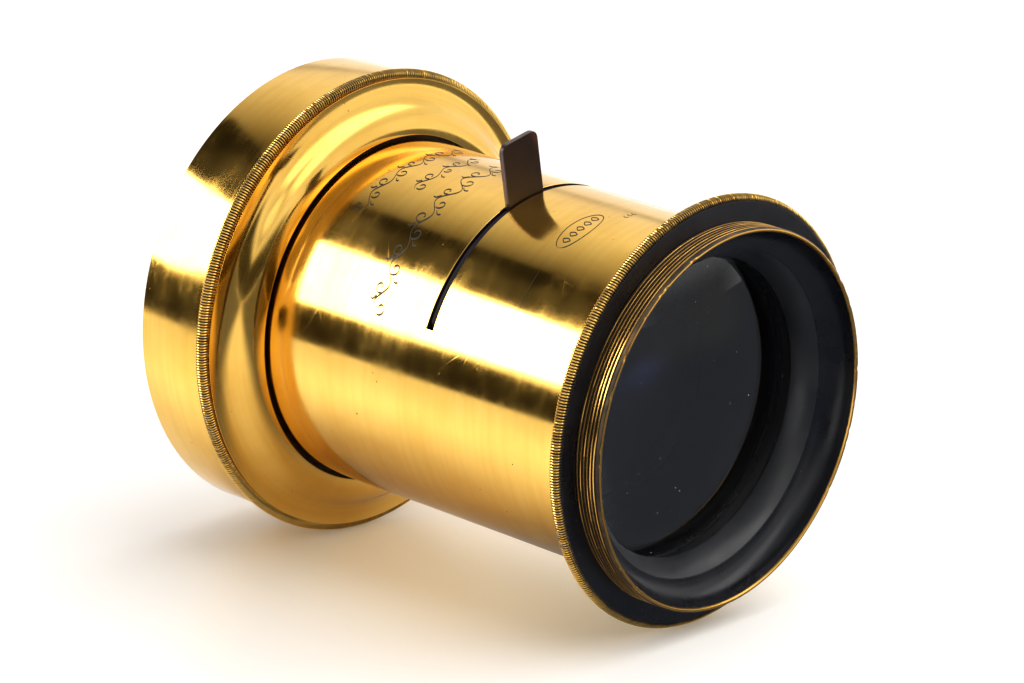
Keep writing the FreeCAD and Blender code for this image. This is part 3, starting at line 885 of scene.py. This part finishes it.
def flourishes():
    """Three running scrolls behind the slot, an oval with five small marks, a scribed line."""
    engraving("engraved_scroll_front", vine((-17, 82.6), (57, 81.6), 5.5, 1.9, 3))
    engraving("engraved_scroll_middle", vine((-18, 91.4), (12, 92.4), 2.5, 1.5, 4))
    engraving("engraved_scroll_rear", vine((-23, 100.4), (27, 102.4), 4.0, 1.55, 5))
    middle, low, half_wide, half_tall = 7.0, 39.7, 10.3, 3.3
    lines = [[np.array((middle + half_wide * math.cos(t), low + half_tall * math.sin(t)))
              for t in np.linspace(0, 2 * math.pi, 64)]]
    for mark in range(5):
        angle = middle + (mark - 2) * 3.4
        for bulge in (0.75, -1.3):
            lines.append(smooth_path([(angle - 0.6, low - 1.2), (angle + bulge, low),
                                      (angle - 0.6, low + 1.2)], 6))
    engraving("engraved_cartouche", lines, 0.5, 0.24)
    engraving("scribed_line", [smooth_path([(27.5, 39.6), (34.0, 39.3), (41.6, 38.8)])],
              0.12, 0.12)
    row = [smooth_path([(-11 + 1.8 * k, 33.6), (-10.2 + 1.8 * k, 34.4), (-11 + 1.8 * k, 35.2)])
           for k in range(3)]
    engraving("engraved_ticks", row, 0.4, 0.2)


# Focusing collar


def shoulder():
    """The ogee at the front of the collar, with a thin edge before the milled bead."""
    bend = ((LIP + CORNICE) / 2, (LIP_STATION + CORNICE_STATION) / 2)
    skirt = SHELL - TUBE_WALL - 0.05
    section = (arc((LIP, LIP_STATION), bend, OGEE_ROUND, 1, 26)
               + arc(bend, (CORNICE, CORNICE_STATION), OGEE_ROUND, -1, 26)
               + [(CORNICE, CORNICE_STATION), (CORNICE, CORNICE_STATION + 0.16),
                  (CORNICE - 0.5, CORNICE_STATION + 0.25), (CORNICE - 0.5, BEAD_REAR - 0.1),
                  (skirt, BEAD_REAR), (skirt, SKIRT_END), (skirt - 1.5, SKIRT_END),
                  (skirt - 1.5, BEAD_STATION + 0.5), (LIP + 6.0, LIP_STATION + 4.5),
                  (LIP, LIP_STATION + 1.1)])
    lathe("shoulder_ogee", section, BRASS, "collar", "polished_brass", ["shoulder_ring"],
          ease=0.1)


def collar_cylinder():
    """The large plain cylinder of the collar."""
    section = [(SHELL - TUBE_WALL, BEAD_REAR), (SHELL, BEAD_REAR), (SHELL, SEAT - 0.4),
               (SHELL - 0.4, SEAT), (SHELL - TUBE_WALL, SEAT)]
    lathe("collar_cylinder", section, BRASS, "collar", "polished_brass", ["collar_shell"])


def mount_plate():
    """The back plate with the coarse thread that screws into a flange."""
    depth = 0.5
    start, end = SEAT + 0.8, MOUNT_END
    turns_cut = int((end - start) / THREAD_PITCH * 8)
    face = SEAT - 0.2
    section = ([(MOUNT_BORE, PLATE_FRONT), (MOUNT_PLATE, PLATE_FRONT), (MOUNT_PLATE, face),
                (MOUNT_THREAD, face)]
               + line((MOUNT_THREAD, start), (MOUNT_THREAD, end - 0.5), turns_cut)
               + [(MOUNT_THREAD - 0.5, end), (MOUNT_BORE, end)])
    piece = lathe("mount_plate", section, BRASS_WORN_SHADED, "collar", "polished_brass",
                  ["mount_ring"], 720, screwed(MOUNT_THREAD, depth, start, end), ease=0.1)
    radius, station = places(piece)
    # Painted shade: the thread roots are darkened by their depth.
    deep = np.clip((MOUNT_THREAD - radius) / depth, 0, 1) * (radius > MOUNT_THREAD - depth * 1.1)
    store_shade(piece, "darkening", deep * (station > SEAT + 0.3) * 0.9)


def inner_sleeve():
    """The sleeve that carries the barrel, blackened like everything inside."""
    bore = node_size("sleeve_lining")[0]
    section = [(bore, GUIDE_FRONT), (bore + TUBE_WALL, GUIDE_FRONT),
               (bore + TUBE_WALL, GUIDE_REAR - 3.0), (GUIDE, GUIDE_REAR - 3.0),
               (GUIDE, GUIDE_REAR), (MOUNT_BORE, GUIDE_REAR), (MOUNT_BORE, GUIDE_REAR - 2.4),
               (bore, GUIDE_REAR - 2.4)]
    lathe("inner_sleeve", section, BLACK_INSIDE, "collar", "inner_brass", ["guide_sleeve"])


def prism(ring, low, high):
    """Points and faces of a closed ring of (x, z) points, drawn out between two stations."""
    points = [(x * MM, station * MM + FRONT, z * MM) for station in (low, high) for x, z in ring]
    count = len(ring)
    faces = [tuple(range(count)), tuple(reversed(range(count, 2 * count)))]
    faces += [(k, (k + 1) % count, count + (k + 1) % count, count + k) for k in range(count)]
    return points, faces


def slotted_head(x, z, slot, top, bottom):
    """The parts of a screw head: two half discs with a slot between, on a base disc."""
    sunk = top - 0.12
    turn = math.atan2(z, x) + 0.7
    opening = math.asin(slot / 2 / SCREW_HEAD)
    half_disc = np.linspace(opening, math.pi - opening, 20)
    base = np.linspace(0, 2 * math.pi, 36, endpoint=False)
    return [prism(circle(SCREW_HEAD, turn + half_disc, x, z), sunk, top),
            prism(circle(SCREW_HEAD, turn + math.pi + half_disc, x, z), sunk, top),
            prism(circle(SCREW_HEAD * 0.99, base, x, z), bottom, sunk)]


def mount_screws():
    """The countersunk screws in the back plate."""
    parts = []
    for angle in np.linspace(0, 2 * math.pi, SCREW_COUNT, endpoint=False):
        parts += slotted_head(SCREW_CIRCLE * math.sin(angle), SCREW_CIRCLE * math.cos(angle), 0.5,
                              SCREW_TOP + 0.02, SCREW_FOOT)
    mesh_object("mount_screw_heads", *joined(parts), BLUED_STEEL, "collar", "blued_steel",
                ["mount_screws"])


# Rear of the lens


def rear_parts():
    """The rear cell, its two glasses and the ring that keeps them."""
    neck = BARREL - TUBE_WALL - 0.1
    inner = REAR_KEEPER + 0.05
    keeper_thread, keeper_mouth = REAR_END - 3.5, 37.6
    flange_front, glass_seat = REAR_END - 4.8, MENISCUS_VERTEX + 2.77
    meniscus_back = MENISCUS_VERTEX + 5.5
    section = [(REAR_CLEAR, REAR_NECK_FRONT), (neck, REAR_NECK_FRONT), (neck, BARREL_END),
               (BARREL - 0.3, BARREL_END), (BARREL - 0.3, flange_front),
               (FLANGE, flange_front), (FLANGE, REAR_END), (inner, REAR_END),
               (inner, keeper_thread), (REAR_GLASS + 0.05, keeper_thread),
               (REAR_GLASS + 0.05, glass_seat), (REAR_CLEAR, glass_seat - 0.3)]
    lathe("rear_cell_body", section, BRASS, "barrel", "polished_brass", ["rear_cell"])
    section = [(REAR_CLEAR, REAR_KEEPER_FRONT), (REAR_KEEPER, REAR_KEEPER_FRONT),
               (REAR_KEEPER, REAR_END), (keeper_mouth, REAR_END)]
    lathe("rear_keeper", section, BLACK, "barrel", "black_lacquer", ["rear_retaining_ring"])
    edge = REAR_GLASS - 0.02
    lens("rear_meniscus", (MENISCUS_CURVES[0], MENISCUS_VERTEX, 1),
         (MENISCUS_CURVES[1], meniscus_back, 1), edge, INNER_GLASS, ["rear_flint_glass"])
    lens("rear_glass", (REAR_CURVES[0], BACK_VERTEX, 1), (REAR_CURVES[1], BACK_END, -1), edge,
         LENS_GLASS, ["rear_crown_glass"])


def dress_cad():
    """Materials for the CAD nodes that stay: hidden rings, the spring and the lining."""
    looks = {"stop_guide_front": BLACK_INSIDE, "stop_guide_rear": BLACK_INSIDE,
             "stop_spring": SPRING_STEEL, "rear_spacer_ring": BLACK_INSIDE,
             "sleeve_lining": VELVET}
    for node, material in looks.items():
        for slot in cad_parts[node].material_slots:
            slot.material = material


# Studio


def floor_up():
    """The floor's normal: it touches the milled bead and the bezel."""
    pitch = math.atan2(BEAD_MAX - BEZEL_MAX,
                       BEAD_STATION - (FACE_STATION + BEAD_ROUND))
    roll = math.radians(FLOOR_ROLL)
    return Vector((math.sin(roll) * math.cos(pitch), math.sin(pitch),
                   math.cos(roll) * math.cos(pitch)))


UP = floor_up()


def panel(name, centre, wide, tall, material):
    """A flat board in the studio, from its centre, half width and half height."""
    points = [centre + wide * a + tall * b for a, b in ((-1, -1), (1, -1), (1, 1), (-1, 1))]
    mesh = bpy.data.meshes.new(name)
    mesh.from_pydata([tuple(p) for p in points], [], [(0, 1, 2, 3)])
    layer = mesh.uv_layers.new(name="card")
    for loop, place in zip(layer.data, ((0, 0), (1, 0), (1, 1), (0, 1))):
        loop.uv = place
    mesh.materials.append(material)
    board = placed(name, mesh)
    return board


def card(name, direction, distance, width, height, material, up=None):
    """A card that faces the lens from a direction. The camera doesn't see it."""
    away = Vector(direction).normalized()
    tall = Vector(up) if up is not None else UP
    tall = (tall - away * tall.dot(away)).normalized()
    wide = tall.cross(away)
    board = panel(name, CENTRE + away * distance, wide * width / 2, tall * height / 2, material)
    board.visible_camera = False
    board.visible_transmission = False
    return board


def screen(board):
    """Leaves a card in reflections only, so it gives no light and throws no shadow."""
    board.visible_diffuse = False
    board.visible_shadow = False


def glow(name, strength, soft_x=0.06, soft_y=0.06, tone=(1.0, 0.985, 0.96), ramp=None):
    """A light, or a dark card where it is dim, that fades out towards its borders. ramp is a
    pair: where the light is full, counted up the card, and its share at the lower edge."""
    nodes = new_nodes(name)
    u, v, _ = nodes.parts(nodes.add("UVMap", uv_map="card"))
    share = nodes.between(nodes.math("PINGPONG", u, 0.5), 0.0, soft_x)
    if ramp:
        full, left = ramp
        share = nodes.times(share, nodes.between(v, 1.0 - soft_y, 1.0, 1.0, 0.0))
        rise = nodes.add("MapRange", {"Value": v, "From Max": full, "To Min": left})
        strength = nodes.times(rise, strength)
    else:
        share = nodes.times(share, nodes.between(nodes.math("PINGPONG", v, 0.5), 0.0, soft_y))
    light = nodes.add("Emission", {"Color": colour(*tone), "Strength": strength})
    return nodes.surface(nodes.blend(share, nodes.add("BsdfTransparent"), light))


def round_axis(turn):
    """A direction that the barrel mirrors into the camera at one angle of its surface: the
    reflections of the camera's line of sight form a cone about the lens axis."""
    spread = math.hypot(CAMERA_LOOK.x, CAMERA_LOOK.z)
    out = math.radians(turn)
    return Vector((-spread * math.sin(out), CAMERA_LOOK.y, spread * math.cos(out)))


def along_cone(turn, tilt=0.0):
    """The way that reflected direction moves as the angle falls, leaned towards the front."""
    out, lean = math.radians(turn), math.radians(tilt)
    return Vector((math.cos(out) * math.cos(lean), -math.sin(lean),
                   math.sin(out) * math.cos(lean)))


def toward(turn, rise):
    """A direction by its angle from straight behind, to the camera's right, and its height."""
    ahead = (CAMERA_LOOK - UP * CAMERA_LOOK.dot(UP)).normalized()
    right = ahead.cross(UP)
    level = ahead * math.cos(math.radians(turn)) + right * math.sin(math.radians(turn))
    return level * math.cos(math.radians(rise)) + UP * math.sin(math.radians(rise))


def pale_floor(foot):
    """The floor, which is tilted in the frame and clear from underneath."""
    nodes = new_nodes("pale_floor")
    tone = nodes.mix(nodes.noise(nodes.place(), 9.0, 3.0), colour(0.90, 0.895, 0.885),
                     colour(0.93, 0.925, 0.915))
    plate = nodes.principled(Base_Color=tone, Roughness=0.34, Specular_IOR_Level=0.3)
    under = nodes.add("NewGeometry", output=6)
    material = nodes.surface(nodes.blend(under, plate, nodes.add("BsdfTransparent")))
    wide = (Vector((1, 0, 0)) - UP * UP.x).normalized()
    panel("floor", foot, wide * FLOOR_REACH, UP.cross(wide) * FLOOR_REACH, material)


def bounce(foot):
    """The warm light that the brass throws on the floor under it, laid on as a faint glow."""
    nodes = new_nodes("brass_bounce")
    place = nodes.add("UVMap", uv_map="card")
    from_middle = nodes.add("VectorMath", {0: place, 1: (0.5, 0.5, 0.0)}, output=1,
                            operation="DISTANCE")
    warm = nodes.add("Emission", {"Color": colour(1.0, 0.74, 0.38),
                                  "Strength": nodes.between(from_middle, 0.05, 0.5, 0.22, 0.0)})
    material = nodes.surface(nodes.add("AddShader", {0: warm, 1: nodes.add("BsdfTransparent")}))
    ahead = (Vector((0, 1, 0)) - UP * UP.y).normalized()
    middle = foot + ahead * (CENTRE.y - 0.004) + UP * 0.0004
    board = panel("brass_bounce", middle, ahead.cross(UP) * 0.105, ahead * 0.115, material)
    board.visible_glossy = False
    screen(board)


def studio():
    """Pale floor and walls, a tall soft light on the left, a soft top light behind, soft light
    on the right and dark cards between them."""
    low = BEAD_STATION * MM + FRONT
    offset = low * UP.y - BEAD_MAX * MM * math.hypot(UP.x, UP.z)
    foot = UP * offset
    pale_floor(foot)
    bounce(foot)

    card("key_softbox", round_axis(42.5), 1.25, 0.85, 0.90, glow("key_glow", 7.5),
         along_cone(42.5)).visible_diffuse = False
    card("top_softbox", round_axis(-38.8), 1.5, 1.3, 1.73,
         glow("top_glow", 0.95, 0.2, 0.2, ramp=(0.55, 0.04)), along_cone(-38.8, 38.0))
    card("right_softbox", toward(85.0, 50.0), 1.4, 3.2, 0.80, glow("right_glow", 2.2, 0.15, 0.3))
    card("front_softbox", toward(168.0, 33.0), 1.3, 0.6, 0.5, glow("front_glow", 1.3, 0.25, 0.25))
    dim = (1.0, 0.97, 0.92)
    screen(card("upper_flag", round_axis(14.2), 1.1, 1.0, 0.41,
                glow("upper_shade", 0.02, 0.1, 0.07, dim), along_cone(13.5, 42.0)))
    screen(card("lower_flag", round_axis(79.6), 0.42, 1.0, 0.134,
                glow("lower_shade", 0.03, 0.05, 0.06, dim), along_cone(80.3)))
    screen(card("camera_shade", toward(159.0, 2.5), 1.4, 1.75, 0.72,
                glow("camera_dark", 0.06, 0.16, 0.2, dim)))
    across, deep = toward(90.0, 0.0), toward(0.0, 0.0)
    near = panel("floor_shade", foot + UP * 0.001 + across * 0.68 - deep * 0.25, across * 0.66,
                 deep * 0.9, glow("floor_grey", 0.21, 0.05, 0.12, (0.90, 0.94, 1.08)))
    gleam = panel("window_gleam", foot + UP * 0.002 + across * 0.50 - deep * 0.19,
                  across * 0.26, deep * 0.06, glow("gleam", 1.0, 0.5, 0.5, (0.42, 0.48, 1.0)))
    side = panel("side_shade", foot + UP * 0.055 + across * 0.38 - deep * 0.10, deep * 0.13,
                 UP * 0.055, glow("side_grey", 0.30, 0.3, 0.3, dim))
    for board in (near, gleam, side):
        board.visible_camera = False
        screen(board)

    world = bpy.data.worlds.new("studio")
    bpy.context.scene.world = world
    nodes = Nodes(world)
    way = nodes.add("TexCoord")
    rise = nodes.add("VectorMath", {0: way, 1: tuple(UP)}, output=1, operation="DOT_PRODUCT")
    side = nodes.add("VectorMath", {0: way, 1: tuple(across)}, output=1,
                     operation="DOT_PRODUCT")
    wall = nodes.between(rise, 0.27, 0.36, 0.98, 0.42)
    right = nodes.times(nodes.between(side, 0.15, 0.6, 0.0, 0.45),
                        nodes.between(rise, 0.28, 0.34))
    sky = nodes.add("Background", {"Color": colour(1.0, 0.99, 0.975),
                                   "Strength": nodes.plus(wall, right)})
    nodes.add("OutputWorld", {"Surface": sky})

    overhead = bpy.data.lights.new("overhead", "SUN")
    overhead.energy = OVERHEAD
    overhead.angle = math.radians(110)
    hung = placed("overhead", overhead)
    hung.rotation_euler = toward(60.0, 55.0).to_track_quat("Z", "Y").to_euler()
    hung.visible_glossy = False


def camera():
    """A long lens in front of the object and a little above it, level with the floor."""
    data = bpy.data.cameras.new("camera")
    data.sensor_width = 36.0
    data.lens = CAMERA_LENS
    data.clip_start, data.clip_end = 0.05, 20.0
    eye = placed("camera", data)
    right = CAMERA_LOOK.cross(CAMERA_UP).normalized()
    turn = Matrix((right, right.cross(CAMERA_LOOK), -CAMERA_LOOK)).transposed().to_4x4()
    eye.matrix_world = Matrix.Translation(CAMERA_AT) @ turn
    scene = bpy.context.scene
    scene.camera = eye
    scene.view_settings.view_transform = "Standard"
    scene.view_settings.look = "Medium High Contrast"


camera()
studio()
hood_nose()
front_bell()
milled_bead("bezel_milling", BEZEL_CENTRE, FACE_STATION + BEAD_ROUND, BEZEL_RIDGES, "barrel",
            ["front_cell"], 21, -1.25)
front_keeper()
front_glass()
barrel()
aperture_plate()
flourishes()
shoulder()
milled_bead("collar_milling", BEAD_CENTRE, BEAD_STATION, COLLAR_RIDGES, "collar",
            ["shoulder_ring"], 22)
collar_cylinder()
mount_plate()
inner_sleeve()
mount_screws()
rear_parts()
dress_cad()
